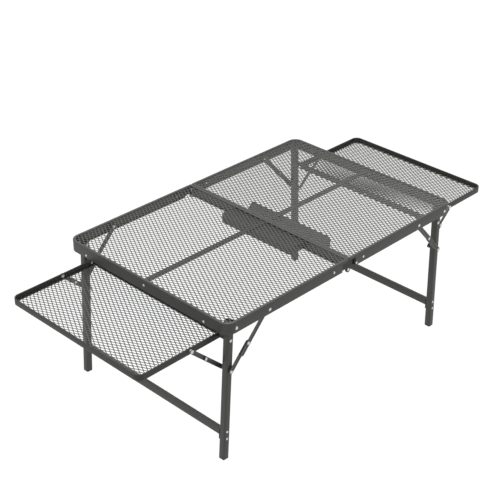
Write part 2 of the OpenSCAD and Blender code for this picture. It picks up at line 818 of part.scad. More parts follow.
brace_upper_links();  // right_brace_upper_links
left() brace_rivets();  // left_brace_rivets
brace_rivets();  // right_brace_rivets
left() brace_rivet_tails();  // left_brace_rivet_tails
brace_rivet_tails();  // right_brace_rivet_tails
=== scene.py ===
"""Looks of the folding grill table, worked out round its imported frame.

Lengths are in metres, in the part's own frame: +X right, -Y near, +Z up, floor at zero.
A part is a pair (points, faces): points as an (n, 3) array, faces as a list of index arrays.
A profile or an outline is a pair (points, outward directions), both (n, 2).
"""

import json
import math

import bmesh
import bpy
import numpy as np
from bpy.props import FloatProperty, FloatVectorProperty, IntProperty, PointerProperty
from bpy.types import Operator, Panel, PropertyGroup
from mathutils import Matrix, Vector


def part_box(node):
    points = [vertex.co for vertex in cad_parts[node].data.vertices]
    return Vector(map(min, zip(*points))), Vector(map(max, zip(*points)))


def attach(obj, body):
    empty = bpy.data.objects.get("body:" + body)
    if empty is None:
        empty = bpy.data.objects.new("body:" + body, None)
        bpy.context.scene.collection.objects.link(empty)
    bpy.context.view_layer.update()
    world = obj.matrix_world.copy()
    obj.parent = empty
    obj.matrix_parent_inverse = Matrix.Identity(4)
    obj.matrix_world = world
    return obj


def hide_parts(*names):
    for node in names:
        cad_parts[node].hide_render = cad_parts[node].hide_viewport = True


bl_info = {
    "name": "Folding grill table",
    "version": (1, 0, 0),
    "blender": (4, 5, 0),
    "location": "View3D > Sidebar > Grill table",
    "description": "Makes the looks of a folding net-topped table round its packed frame",
    "category": "Object",
}

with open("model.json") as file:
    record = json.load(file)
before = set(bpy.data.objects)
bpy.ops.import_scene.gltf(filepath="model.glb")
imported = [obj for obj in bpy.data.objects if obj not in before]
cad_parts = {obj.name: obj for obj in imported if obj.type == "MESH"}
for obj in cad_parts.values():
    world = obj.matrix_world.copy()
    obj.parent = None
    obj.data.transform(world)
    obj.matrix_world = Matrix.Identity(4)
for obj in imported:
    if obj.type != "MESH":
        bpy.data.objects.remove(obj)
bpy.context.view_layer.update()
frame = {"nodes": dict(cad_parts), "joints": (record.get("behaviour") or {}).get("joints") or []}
JOINTS = {joint["name"]: np.array(joint["pos_m"]) for joint in frame["joints"]}
SIDES = {"right": 1, "left": -1}
HAIR = 5e-6
WELD_DIGITS = 6
QUARTER = math.pi / 2
SMOOTH_ANGLE = math.radians(35)
BAR_TO_NET = 0.0002


# Sizes and colours that a user would change


def length(name, description, default):
    """A property that holds a length in metres."""
    return FloatProperty(name=name, description=description, default=default, min=0,
                         unit="LENGTH", precision=5)


def colour(name, description, default):
    """A property that holds a linear colour."""
    return FloatVectorProperty(name=name, description=description, default=default,
                               subtype="COLOR", size=3, min=0, max=1)


class TopSizes(PropertyGroup):
    corner: length("End corner", "Outer radius of the corners at the table's ends", 0.028)
    seam_corner: length("Seam corner", "Outer radius of the corners beside the seam", 0.005)
    sheet: length("Sheet", "Thickness of the rail's sheet", 0.0015)
    flange: length("Flange", "Width of the flange along the rail's bottom", 0.006)
    bead_h: length("Bead height", "Height of the rolled bead along the rail's top", 0.006)
    bead_w: length("Bead width", "Width of the rolled bead", 0.008)
    bead_r: length("Bead rounding", "Rounding of the bead's upper edges", 0.0022)
    notch_x: length("Notch reach", "Reach of the cut for the hinge leaves, from the seam", 0.0263)
    notch_y: length("Notch depth", "Where the cut ends on the seam's side, from the middle",
                    0.2906)
    notch_h: length("Notch height", "Height of the cut over the rail's bottom", 0.0259)
    bar_w: length("Bar width", "Width of the bar under the net", 0.017)
    bar_thin: length("Bar end", "Length of the bar's thinned ends", 0.0077)
    plate_r: length("Plate rounding", "Rounding of the seam plate's upper edge", 0.0025)
    plate_cut: length("Plate chamfer", "Chamfer on the left plate's far corner and on the right "
                      "plate's near corner", 0.013)
    plate_bevel: length("Plate bevel", "Chamfer on the plates' other outer corners", 0.004)
    plate_slant: length("Plate slant", "Slant of the right plate's far end, back towards the "
                        "seam", 0.034)
    steps: IntProperty(name="Corner steps", description="Facets round a corner", default=12,
                       min=4)


class NetSizes(PropertyGroup):
    pitch_x: length("Pitch along X", "Short way across a diamond of the net", 0.0114)
    pitch_y: length("Pitch along Y", "Long way across a diamond of the net", 0.0205)
    strand: length("Strand width", "Width of a strand, across the table", 0.0022)
    gauge: length("Gauge", "Thickness of the net's sheet", 0.0007)
    bond: length("Bond", "Half the length over which two strands run together", 0.0015)
    left_tilt: FloatProperty(name="Left tilt", description="Turn of each strand on the left "
                             "half about its length, with its outer edge up",
                             default=math.radians(-3), subtype="ANGLE")
    right_tilt: FloatProperty(name="Right tilt", description="The same on the right half",
                              default=math.radians(34), subtype="ANGLE")
    top_inset: length("Top inset", "Where the net ends inside the table's bead", 0.0045)
    shelf_inset: length("Shelf inset", "Where the net ends inside the shelf's rail", 0.0018)


class ShelfSizes(PropertyGroup):
    corner: length("Corner radius", "Outer radius of the free corners", 0.020)
    inner_corner: length("Inner corner", "Outer radius of the corners under the top", 0.008)
    sheet: length("Sheet", "Thickness of the shelf's rail", 0.0012)
    flange: length("Flange", "Width of the flange that carries the net", 0.006)
    bead: length("Bead", "Height and width of the bead along the rail's top", 0.0035)
    bead_r: length("Bead rounding", "Rounding of the bead's upper edges", 0.0012)


class LegSizes(PropertyGroup):
    size: length("Tube", "Outer width of the square leg tube", 0.019)
    corner: length("Tube corner", "Radius of the tube's corners", 0.0035)
    wall: length("Tube wall", "Wall of the tube", 0.0012)
    head: length("Head", "Length of tube above the leg pivot", 0.010)
    hollow: length("Hollow", "Depth of the open end that is modelled", 0.030)
    plug: length("Plug", "Length of the foot cap's plug inside the tube", 0.012)
    plug_gap: length("Plug gap", "From the outside of the tube in to the plug", 0.0013)
    foot_r: length("Foot rounding", "Rounding of the foot cap's lower edge", 0.0022)
    bar_h: length("Crossbar height", "Height of the crossbar's tube", 0.0245)
    bar_t: length("Crossbar thickness", "Thickness of the crossbar's tube", 0.0105)
    plate_t: length("End plate", "Thickness of the crossbar's end plates", 0.0015)
    plate_r: length("End plate corner", "Corner radius of the crossbar's end plates", 0.003)


class LinkSizes(PropertyGroup):
    knee_w: length("Knee link", "Width of a knee link", 0.0145)
    brace_w: length("Shelf link", "Width of a shelf brace's link", 0.012)
    bevel: length("Bevel", "Rounding of a link's edges", 0.0005)
    tail: length("Tail", "Length of the knee's upper link past its mid rivet", 0.030)
    rib_inset: length("Rib inset", "Width of the rim left round the pressed middle", 0.0032)
    rib_slope: length("Rib slope", "Width of the slope down to the pressed middle", 0.0012)
    rib_depth: length("Rib depth", "Depth of the pressed middle on each face", 0.0005)


class RivetSizes(PropertyGroup):
    shaft: length("Pivot shaft", "Radius of a pivot's shaft", 0.003)
    thin_shaft: length("Rivet shaft", "Radius of a plain rivet's shaft", 0.002)
    shoulder: length("Shoulder", "Radius of the shoulder on the shelf's brace pivot", 0.0055)
    head: length("Head", "Thickness of a head on an outside face", 0.0014)
    low_head: length("Low head", "Thickness of a head between two links", 0.0012)
    flat_head: length("Flat head", "Thickness of a head on the shelf's inner rail", 0.001)
    pivot_head: length("Knee pivot head", "Thickness of the knee pivot's inner head", 0.0009)
    steps: IntProperty(name="Steps", description="Facets round a rivet", default=28, min=8)


class Finishes(PropertyGroup):
    """Colours of the finishes that this file makes. They have no effect where the frame brings
    a material of the slot's name, as the grill table's frame does for all seven."""

    rail: colour("Rails and legs", "Charcoal powder coat", (0.062, 0.062, 0.058))
    shelf: colour("Shelf rails", "Darker powder coat", (0.030, 0.030, 0.029))
    net: colour("Nets", "Powder coat on the nets", (0.076, 0.075, 0.070))
    link: colour("Links", "Powder coat on the links", (0.078, 0.078, 0.074))
    # The hinge leaves' colour is partly their black coat and partly painted shade: it is set near
    # black so that the recess under the bead looks like deep shadow.
    leaf_coat_and_shade: colour("Hinge leaves", "Black coat on the seam's hinge leaves", (0.008, 0.008, 0.008))
    steel: colour("Rivets", "Bright plated steel", (0.62, 0.62, 0.61))
    plastic: colour("Bushes", "Black moulded plastic", (0.030, 0.030, 0.030))


class StageSettings(PropertyGroup):
    floor: colour("Floor", "Colour of the floor", (0.50, 0.50, 0.50))
    floor_glow: FloatProperty(name="Floor glow", description="Share of plain white in what "
                              "the camera sees of the floor", default=0.85, min=0, max=1)
    floor_light: FloatProperty(name="Floor light", description="Strength of that plain white",
                               default=1.16, min=0)
    floor_size: length("Floor size", "Half the side of the floor", 9.0)
    sky: FloatProperty(name="Sky", description="Strength of the light from all round",
                       default=0.15, min=0)
    key: FloatProperty(name="Key", description="Power of the lamp over the table in watts",
                       default=150, min=0)
    fill: FloatProperty(name="Fill", description="Power of the fill lamp in watts", default=30,
                        min=0)


SETTINGS = {
    "table_top": TopSizes,
    "table_net": NetSizes,
    "table_shelf": ShelfSizes,
    "table_leg": LegSizes,
    "table_link": LinkSizes,
    "table_rivet": RivetSizes,
    "table_finish": Finishes,
    "table_stage": StageSettings,
}


def settings(name):
    """The group of settings of that name."""
    return getattr(bpy.context.scene, name)


# Shapes


def unit(v):
    """Vectors of length one along the last axis."""
    return v / np.linalg.norm(v, axis=-1, keepdims=True)


def rounded(corners, radii, steps=5):
    """A closed outline whose corners are arcs. The corners run anticlockwise.

    At each corner the outward direction turns evenly from one edge's normal to the next one's.
    The arc's centre lies behind the corner by radius / cos(half the turn), on the side that the
    outline turns to, and its points lie a radius from the centre along that direction.
    """
    corners = np.array(corners, float)
    radii = np.broadcast_to(np.array(radii, float), len(corners))[:, None]
    before = unit(corners - np.roll(corners, 1, axis=0))
    after = np.roll(before, -1, axis=0)
    normal = np.stack([before[:, 1], -before[:, 0]], axis=1)
    next_normal = np.roll(normal, -1, axis=0)
    turn = np.arctan2(before[:, 0] * after[:, 1] - before[:, 1] * after[:, 0],
                      (before * after).sum(axis=1))
    bend = np.sign(turn)[:, None]
    centre = corners - bend * radii * unit(normal + next_normal) / np.cos(turn / 2)[:, None]
    angle = turn[:, None] * np.linspace(0, 1, steps + 1)
    x, y = normal[:, :1], normal[:, 1:]
    outward = np.stack([x * np.cos(angle) - y * np.sin(angle),
                        x * np.sin(angle) + y * np.cos(angle)], axis=2)
    points = centre[:, None] + (bend * radii)[:, None] * outward
    return points.reshape(-1, 2), outward.reshape(-1, 2)


def rounded_rectangle(width, height, radius, steps=5):
    """A rectangle about the origin with rounded corners."""
    x, y = width / 2, height / 2
    return rounded([(-x, -y), (x, -y), (x, y), (-x, y)], radius, steps)


def stadium(run, radius, steps=20):
    """The outline of a link along +X: half a circle round each end, joined by its two sides."""
    angle = np.concatenate([np.linspace(-QUARTER, QUARTER, steps + 1),
                            np.linspace(QUARTER, 3 * QUARTER, steps + 1)])
    outward = np.stack([np.cos(angle), np.sin(angle)], axis=1)
    ends = np.repeat([[run, 0], [0, 0]], steps + 1, axis=0)
    return ends + radius * outward, outward


def grid_faces(rows, columns, loop_rows=False):
    """Four-cornered faces of a grid of points whose columns close on themselves."""
    row = np.arange(rows if loop_rows else rows - 1)[:, None]
    column = np.arange(columns)[None, :]
    next_row, next_column = (row + 1) % rows, (column + 1) % columns
    corners = [row * columns + column, row * columns + next_column,
               next_row * columns + next_column, next_row * columns + column]
    return np.stack(corners, axis=2).reshape(-1, 4)


def lofted(outline, stations):
    """An outline carried through stations (inset, height) and closed flat at both ends.

    Each point of a station is the outline's point less inset times its outward direction, at
    that height.
    """
    points, outward = outline
    inset, height = np.array(stations, float).T
    flat = points[None] - inset[:, None, None] * outward[None]
    high = np.broadcast_to(height[:, None, None], flat.shape[:2] + (1,))
    rows, columns = flat.shape[:2]
    rim = np.arange(columns)[None]
    faces = [grid_faces(rows, columns), rim[:, ::-1], rim + (rows - 1) * columns]
    return np.concatenate([flat, high], axis=2).reshape(-1, 3), faces


def turned(profile, steps):
    """A shape turned about its own +Z: profile rows are (distance along the axis, radius)."""
    along, radius = np.array(profile, float).T
    angle = np.linspace(0, 2 * math.pi, steps, endpoint=False)
    points = np.stack([radius[:, None] * np.cos(angle), radius[:, None] * np.sin(angle),
                       np.broadcast_to(along[:, None], (len(along), steps))], axis=2)
    return points.reshape(-1, 3), [grid_faces(len(along), steps)]


def swept(stations, profile_at):
    """A closed profile carried along a closed path.

    stations are (place, outward) pairs of (n, 2) arrays in plan. profile_at is an
    (n, m, 2) array of (inset from the path, height) for each station.
    """
    place, outward = stations
    plan = place[:, None] - profile_at[:, :, :1] * outward[:, None]
    points = np.concatenate([plan, profile_at[:, :, 1:]], axis=2)
    rows, columns = points.shape[:2]
    return points.reshape(-1, 3), [grid_faces(rows, columns, loop_rows=True)]


def placed(part, origin, across, along, up):
    """A part moved so that its x, y and z axes lie along the three directions given."""
    points, faces = part
    return points @ np.array([across, along, up], float) + np.array(origin, float), faces


def mirrored(part, axis):
    """A part mirrored in the plane through the origin square to that axis."""
    points, faces = part
    flipped = points.copy()
    flipped[:, axis] *= -1
    return flipped, [face[:, ::-1] for face in faces]


def near_and_far(part):
    """A part and its mirror image across the table."""
    return [part, mirrored(part, 1)]


def joined(parts):
    """Several parts as one."""
    starts = np.cumsum([0] + [len(points) for points, _ in parts])
    faces = [face + start for (_, blocks), start in zip(parts, starts) for face in blocks]
    return np.concatenate([points for points, _ in parts]), faces


def tray_path(x0, x1, y, r0, r1, steps, extra=()):
    """Places and outward directions along a rounded rectangle in plan, from its near side.

    The way round is eight stretches: near side, corner, end, corner, far side, corner, end,
    corner. A corner's direction turns evenly through a quarter. A straight stretch keeps the
    direction at its start and runs a quarter turn on from it. extra holds more arc lengths.
    """
    lengths = np.array([x1 - r1 - x0 - r0, r1 * QUARTER, 2 * (y - r1), r1 * QUARTER,
                        x1 - r1 - x0 - r0, r0 * QUARTER, 2 * (y - r0), r0 * QUARTER])
    ends = np.concatenate([[0], np.cumsum(lengths)])
    cuts = [np.linspace(a, b, steps + 1 if k % 2 else 2)
            for k, (a, b) in enumerate(zip(ends[:-1], ends[1:]))]
    s = np.unique(np.round(np.concatenate(cuts + [np.array(extra, float)]), 9))
    s = s[s < ends[-1] - HAIR / 10]
    k = np.clip(np.searchsorted(ends, s + HAIR / 100, side="right") - 1, 0, 7)
    part_way = s - ends[k]
    centre = np.array([(x0 + r0, -y), (x1 - r1, r1 - y), (x1, r1 - y), (x1 - r1, y - r1),
                       (x1 - r1, y), (x0 + r0, y - r0), (x0, y - r0), (x0 + r0, r0 - y)])[k]
    radius = np.array([0, r1, 0, r1, 0, r0, 0, r0])[k]
    bend = np.where(radius > 0, part_way / np.where(radius > 0, radius, 1), 0)
    angle = QUARTER * np.array([-1, -1, 0, 0, 1, 1, 2, 2])[k] + bend
    outward = np.stack([np.cos(angle), np.sin(angle)], axis=1)
    onward = np.stack([-outward[:, 1], outward[:, 0]], axis=1)
    run = np.where(radius > 0, 0, part_way)[:, None]
    return s, ends, (centre + radius[:, None] * outward + run * onward, outward)


def inside_tray(points, x0, x1, y, r0, r1):
    """Which points lie inside a rounded rectangle in plan: past a corner's centre both ways,
    a point may be no further from that centre than the radius."""
    radius = np.where(points[..., 0] < (x0 + x1) / 2, r0, r1)
    over = np.maximum(np.maximum(x0 + r0 - points[..., 0], points[..., 0] - (x1 - r1)), 0)
    beside = np.maximum(np.abs(points[..., 1]) - (y - radius), 0)
    corner = (over > 0) & (beside > 0)
    within = (points[..., 0] > x0) & (points[..., 0] < x1) & (np.abs(points[..., 1]) < y)
    return within & (~corner | (np.hypot(over, beside) < radius))


# The frame's own places and pieces


def node_points(node):
    """A CAD node's corners, and its triangles as rows of corner numbers."""
    mesh = frame["nodes"][node].data
    points = np.empty(len(mesh.vertices) * 3)
    mesh.vertices.foreach_get("co", points)
    corners = np.empty(len(mesh.loops), int)
    mesh.loops.foreach_get("vertex_index", corners)
    return points.reshape(-1, 3), corners.reshape(-1, 3)


def solids(node):
    """The lowest and highest corner of each separate solid of a CAD node, as (n, 2, 3).

    Corners at one place share a number, and the lowest number spreads over each triangle
    until none changes.
    """
    points, triangles = node_points(node)
    _, label = np.unique(np.round(points, WELD_DIGITS), axis=0, return_inverse=True)
    triangles = label.reshape(-1)[triangles]
    mark, last = np.arange(label.max() + 1), None
    while last is None or (mark != last).any():
        last = mark.copy()
        lowest = mark[triangles].min(axis=1)
        np.minimum.at(mark, triangles.ravel(), np.repeat(lowest, 3))
        mark = mark[mark]
    owner = mark[label.reshape(-1)]
    return np.array([(points[owner == one].min(axis=0), points[owner == one].max(axis=0))
                     for one in np.unique(owner)])


def span(node):
    """The frame's box of a node, mirrored to the right-hand side, as two arrays."""
    low, high = (np.array(corner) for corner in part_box(node))
    if high[0] + low[0] < 0:
        low[0], high[0] = -high[0], -low[0]
    return low, high


def pin_place(node):
    """Where a node's pins stand in the XZ plane, on the right-hand side."""
    low, high = span(node)
    return np.array([(low[0] + high[0]) / 2, (low[2] + high[2]) / 2])


def joint_place(name):
    """Where a joint's axis crosses the XZ plane."""
    return JOINTS[name][[0, 2]]


def leg_axes():
    """The leg's pivot and the directions across it and up it, on the right-hand side."""
    pivot = joint_place("right_leg_fold")
    up = unit(pivot - joint_place("right_knee_lower_turn"))
    return (np.array([pivot[0], 0, pivot[1]]), np.array([up[1], 0, -up[0]]),
            np.array([up[0], 0, up[1]]))


# Making pieces


def make_piece(name, part, body, node, slot, solid=True):
    """Puts a part into a mesh, closes the seams of a solid one, gives it its body and its
    material, and hides the CAD node that it stands for."""
    points, faces = part
    if not len(points) or not np.isfinite(points).all():
        raise RuntimeError(f"{name} has no shape")
    mesh = bpy.data.meshes.new(name)
    mesh.from_pydata(points.tolist(), [], [row for block in faces for row in block.tolist()])
    if solid:
        shell = bmesh.new()
        shell.from_mesh(mesh)
        bmesh.ops.remove_doubles(shell, verts=shell.verts, dist=HAIR / 5)
        bmesh.ops.dissolve_degenerate(shell, edges=shell.edges, dist=HAIR / 10)
        bmesh.ops.recalc_face_normals(shell, faces=shell.faces)
        shell.to_mesh(mesh)
        shell.free()
    mesh.shade_smooth()
    mesh.set_sharp_from_angle(angle=SMOOTH_ANGLE)
    piece = bpy.data.objects.new(name, mesh)
    bpy.context.scene.collection.objects.link(piece)
    mesh.materials.append(finish(slot))
    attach(piece, body)
    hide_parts(node)


def make_on(side, name, part, body, node, slot, solid=True):
    """Makes a piece from a part of the right-hand half, taken to its side. The piece, its body
    and its node are named here without the side."""
    own = part if side == "right" else mirrored(part, 0)
    make_piece(f"{side}_{name}", own, f"{side}_{body}", f"{side}_{node}", slot, solid)


# Finishes


def add_node(tree, kind, links=(), **values):
    """A shader node, with sockets set to values or linked from other nodes' outputs."""
    node = tree.nodes.new(kind)
    for key, value in values.items():
        setattr(node, key, value)
    for socket, value in links:
        if isinstance(value, bpy.types.NodeSocket):
            tree.links.new(value, node.inputs[socket])
        else:
            node.inputs[socket].default_value = value
    return node


def new_material(name):
    """An empty node material and its tree."""
    material = bpy.data.materials.new(name)
    material.use_nodes = True
    material.node_tree.nodes.clear()
    return material, material.node_tree


def coated(name, base, roughness, metallic=0.0, grain=900, relief=0.00004, mottle=0.08,
           specular=0.5, patches=35.0, sway=0.05, strength=0.6):
    """A finish whose tone varies softly over a few centimetres and whose surface has a fine
    grain: noise on the object's own coordinates drives both."""
    material, tree = new_material(name)
    place = add_node(tree, "ShaderNodeTexCoord").outputs["Object"]
    broad = add_node(tree, "ShaderNodeTexNoise",
                     [("Vector", place), ("Scale", patches), ("Detail", 3.0)])
    shade = add_node(tree, "ShaderNodeMix", [("Factor", broad.outputs["Fac"])],
                     data_type="RGBA")
    dark, light = 1 - mottle, 1 + mottle
    shade.inputs[6].default_value = [c * dark for c in base] + [1]
    shade.inputs[7].default_value = [min(c * light, 1) for c in base] + [1]
    fine = add_node(tree, "ShaderNodeTexNoise",
                    [("Vector", place), ("Scale", float(grain)), ("Detail", 2.0)])
    bump = add_node(tree, "ShaderNodeBump",
                    [("Height", fine.outputs["Fac"]), ("Strength", strength),
                     ("Distance", relief)])
    gloss = add_node(tree, "ShaderNodeMapRange",
                     [("Value", broad.outputs["Fac"]), ("To Min", roughness - sway),
                      ("To Max", roughness + sway)])
    shader = add_node(tree, "ShaderNodeBsdfPrincipled",
                      [("Base Color", shade.outputs[2]), ("Roughness", gloss.outputs[0]),
                       ("Metallic", metallic), ("Specular IOR Level", specular),
                       ("Normal", bump.outputs[0])])
    add_node(tree, "ShaderNodeOutputMaterial", [("Surface", shader.outputs[0])])
    return material


def finish(slot):
    """The material of a slot of the record: the one that is there, or else one by a recipe.

    The frame brings a plain material under each of the record's slot names, so with that frame
    no recipe is ever reached.
    """
    if slot in bpy.data.materials:
        return bpy.data.materials[slot]
    paints = settings("table_finish")
    recipes = {
        "frame_paint": lambda: coated(slot, paints.rail, 0.46, specular=0.1),
        "shelf_paint": lambda: coated(slot, paints.shelf, 0.50, specular=0.1),
        "net_paint": lambda: coated(slot, paints.net, 0.50, specular=0.3),
        "link_paint": lambda: coated(slot, paints.link, 0.44, specular=0.2),
        # No sheen on the leaves, so their near-black colour keeps the painted shade of the recess
        # under the bead.
        "leaf_paint": lambda: coated(slot, paints.leaf_coat_and_shade, 0.55, specular=0.0),
        "bright_steel": lambda: coated(slot, paints.steel, 0.30, metallic=1.0, grain=2500,
                                       relief=0.00001, mottle=0.04),
        "black_plastic": lambda: coated(slot, paints.plastic, 0.55, grain=1400),
    }
    return recipes[slot]()


def refinish(node, slot):
    """Gives a CAD node that is kept as it is the material of its slot."""
    mesh = frame["nodes"][node].data
    mesh.materials.clear()
    mesh.materials.append(finish(slot))


# Table top


def rail_part(low, high, r0, r1, sheet, flange, bead_h, bead_w, bead_r, steps, notch=None):
    """A rail bent round a tray: a sheet wall, a flange at the bottom and a bead at the top.

    The profile is an outline with rounded corners in (inset, height). In a notch, its points
    under the notch's top rise to it, after the flange has drawn back to the wall. Each end of
    a notch is three stations a hair apart, so the cut ends of the flange and wall are square.
    """
    x0, x1, y, z, h = low[0], high[0], high[1], low[2], high[2] - low[2]
    corners = [(0, 0), (flange, 0), (flange, sheet), (sheet, sheet), (sheet, h - bead_h),
               (bead_w, h - bead_h), (bead_w, h), (0, h)]
    hem = sheet / 3
    radii = [sheet * 0.9, hem, hem, hem, hem, bead_r / 2, bead_r * 0.9, bead_r]
    section, _ = rounded(corners, radii, 4)
    cuts, notches = [], []
    if notch:
        reach, depth, notch_h = notch
        _, ends, _ = tray_path(x0, x1, y, r0, r1, steps)
        along, past = reach - (x0 + r0), r0 * QUARTER + y - r0 - depth
        notches = [(ends[8] - past, ends[8] + along), (ends[5] - along, ends[5] + past)]
        cuts = [(end + k * HAIR) % ends[8] for pair in notches for end in pair
                for k in (-1, 0, 1)]
    s, ends, stations = tray_path(x0, x1, y, r0, r1, steps, cuts)
    profile = np.broadcast_to(section, (len(s),) + section.shape).copy()
    for start, end in notches:
        into = (s - start + HAIR / 2) % ends[8]
        width = end - start
        no_flange = into < width + HAIR
        cut = (into > HAIR * 0.75) & (into < width - HAIR * 0.25)
        profile[no_flange, :, 0] = np.where(section[:, 1] < notch_h,
                                            np.minimum(section[:, 0], sheet), section[:, 0])
        profile[cut, :, 1] = np.maximum(section[:, 1], notch_h)
    profile[:, :, 1] += z
    return swept(stations, profile)


class TABLE_OT_top_rails(Operator):
    """Make the rail round each half of the table top"""

    bl_idname = "grill_table.top_rails"
    bl_label = "Top rails"

    def execute(self, context):
        sizes = settings("table_top")
        for side in SIDES:
            low, high = span(f"{side}_top_frame")
            part = rail_part(low, high, sizes.seam_corner, sizes.corner, sizes.sheet,
                             sizes.flange, sizes.bead_h, sizes.bead_w, sizes.bead_r, sizes.steps,
                             (sizes.notch_x, sizes.notch_y, sizes.notch_h))
            make_on(side, "rail", part, "half", "top_frame", "frame_paint")
        return {"FINISHED"}


def along(path, marks):
    """Points on lines of stations at fractional station numbers, a row of marks for each line:
    each point is a share of the stations on both its sides."""
    k = np.minimum(marks.astype(int), path.shape[1] - 2)
    part_way = (marks - k)[:, :, None]
    line = np.arange(len(path))[:, None]
    return path[line, k] * (1 - part_way) + path[line, k + 1] * part_way


def net_part(x0, x1, y, r0, r1, z, tilt, tries=37):
    """Expanded metal inside a tray's outline, about the height z.

    Bonds lie at whole and at half steps of both pitches. Two strands leave each bond, both
    towards +Y: each slants to the next bond and ends along Y again, four stations of a flat
    bar that is tilted about Y. A strand that crosses the outline keeps only the stretch
    inside it, which is found by trying that many points along it.
    """
    net = settings("table_net")
    half_x, half_y, w = net.pitch_x / 2, net.pitch_y / 2, net.strand
    columns = math.ceil((x1 - x0) / half_x)
    rows = math.ceil(y / half_y)
    i, j = np.meshgrid(np.arange(columns + 1), np.arange(-rows, rows + 1), indexing="ij")
    even = (i + j) % 2 == 0
    start = np.stack([x0 + i[even] * half_x, j[even] * half_y], axis=1)
    way = np.array([(1, 1), (-1, 1)])
    lean = np.array([(w / 2, 0), (w / 2, net.bond), (half_x - w / 2, half_y - net.bond),
                     (half_x - w / 2, half_y)])
    path = (start[:, None, None] + way[None, :, None] * lean[None, None]).reshape(-1, 4, 2)
    fraction = np.linspace(0, 3, tries)
    samples = along(path, np.broadcast_to(fraction, (len(path), tries)))
    inside = inside_tray(samples, x0, x1, y, r0, r1)
    keep = inside.sum(axis=1) > 1
    path, inside = path[keep], inside[keep]
    first = fraction[inside.argmax(axis=1)]
    last = fraction[tries - 1 - inside[:, ::-1].argmax(axis=1)]
    marks = np.clip(np.arange(4)[None], first[:, None], last[:, None])
    middle = along(path, marks)
    middle = np.concatenate([middle, np.full(middle.shape[:2] + (1,), z)], axis=2)
    across = np.array([math.cos(tilt), 0, math.sin(tilt)]) * w / 2
    through = np.array([-math.sin(tilt), 0, math.cos(tilt)]) * net.gauge / 2
    edge = np.array([-across - through, across - through, across + through,
                     through - across])
    points = (middle[:, :, None] + edge[None, None]).reshape(-1, 3)
    moved = np.diff(marks, axis=1) > 0
    station = np.maximum.accumulate(
        np.concatenate([np.zeros((len(path), 1), int), moved * np.arange(1, 4)], axis=1), axis=1)
    line = np.arange(len(path))[:, None]
    corner = len(edge) * (marks.shape[1] * line + station)[:, :, None] + np.arange(len(edge))
    turned_on = np.roll(corner, -1, axis=2)
    side = np.stack([corner[:, :-1], turned_on[:, :-1], turned_on[:, 1:], corner[:, 1:]], axis=3)
    faces = np.concatenate([side[moved].reshape(-1, 4), corner[:, 0, ::-1], corner[:, -1]])
    used, faces = np.unique(faces, return_inverse=True)
    return points[used], [faces.reshape(-1, 4)[:, ::-1]]


class TABLE_OT_nets(Operator):
    """Make the expanded net of each half and of each shelf"""

    bl_idname = "grill_table.nets"
    bl_label = "Nets"

    def execute(self, context):
        net = settings("table_net")
        top, shelf = settings("table_top"), settings("table_shelf")
        tilts = {"left": net.left_tilt, "right": net.right_tilt}
        for side in SIDES:
            for name, body, inset, r0, r1 in (
                    ("top", "half", net.top_inset, top.seam_corner, top.corner),
                    ("shelf", "shelf", net.shelf_inset, shelf.inner_corner, shelf.corner)):
                low, high = span(f"{side}_{name}_frame")
                net_low, net_high = span(f"{side}_{name}_net")
                part = net_part(low[0] + inset, high[0] - inset, high[1] - inset,
                                r0 - inset, r1 - inset, (net_low[2] + net_high[2]) / 2,
                                tilts[side])
                make_on(side, f"{name}_mesh", part, body, f"{name}_net", "net_paint",
                        solid=False)
        return {"FINISHED"}


def centre_bar_part(low, high):
    """The bar under a net: its side view, thinned at both ends and with a tab turned down at
    the outer one, is an outline that is carried across the bar's width."""
    top = settings("table_top")
    x0, x1, z0, z1 = low[0], high[0], low[2], high[2]
    bar_z = span("right_seam_plate")[1][2]
    strap = z1 - bar_z
    thick = min(strap * 3, span("right_top_net")[0][2] - bar_z - BAR_TO_NET)
    thin_x0, thin_x1 = x0 + top.bar_thin, x1 - top.bar_thin
    corners = [(x0, bar_z), (x1 - top.sheet, bar_z), (x1 - top.sheet, z0), (x1, z0), (x1, z1),
               (thin_x1, z1), (thin_x1 - strap, bar_z + thick), (thin_x0 + strap, bar_z + thick),
               (thin_x0, z1), (x0, z1)]
    edge = top.sheet / 3
    outline = rounded(corners, [edge / 2, edge, edge, edge, top.sheet * 0.9, edge, edge, edge,
                                edge, edge], 3)
    half, bevel = top.bar_w / 2, edge * 0.8
    side_view = lofted(outline, [(bevel, -half), (0, bevel - half), (0, half - bevel),
                                 (bevel, half)])
    return placed(side_view, (0, 0, 0), (1, 0, 0), (0, 0, 1), (0, 1, 0))


def seam_plate_part(low, high, near_cut, far_cut, slant):
    """The plate under the seam: a pressed lid. Its outline in plan is carried up the rim's
    outside, over the rounded edge, and back down the inside, a sheet further in. The far end
    runs from the cut outer corner back to the seam by slant."""
    top = settings("table_top")
    x0, x1, y0, y1 = low[0], high[0], low[1], high[1]
    r, sheet = top.plate_r, top.sheet
    far_y = y1 + slant * far_cut / (x1 - x0)
    corners = [(x0, y0), (x1 - near_cut, y0), (x1, y0 + near_cut), (x1, far_y - far_cut),
               (x1 - far_cut, y1), (x0, far_y - slant)]
    outline = rounded(corners, [r + 2 * sheet] * 6, 6)
    angle = np.linspace(0, QUARTER, 6)
    arc = np.stack([1 - np.cos(angle), np.sin(angle) - 1], axis=1)
    outside = arc * r + (0, high[2])
    inside = arc[::-1] * (r - sheet / 2) + (sheet, high[2] - sheet)
    stations = [*inside, (sheet, low[2]), (0, low[2]), *outside]
    return lofted(outline, stations)


class TABLE_OT_supports(Operator):
    """Make the bars and the seam plates under the top nets"""

    bl_idname = "grill_table.supports"
    bl_label = "Centre bars and seam plates"

    def execute(self, context):
        top = settings("table_top")
        cuts = {"left": (top.plate_bevel, top.plate_cut, 0),
                "right": (top.plate_cut, top.plate_bevel, top.plate_slant)}
        for side in SIDES:
            bar = centre_bar_part(*span(f"{side}_centre_bar"))
            make_on(side, "bar", bar, "half", "centre_bar", "frame_paint")
            plate = seam_plate_part(*span(f"{side}_seam_plate"), *cuts[side])
            make_on(side, "plate", plate, "half", "seam_plate", "frame_paint")
        return {"FINISHED"}


# Legs


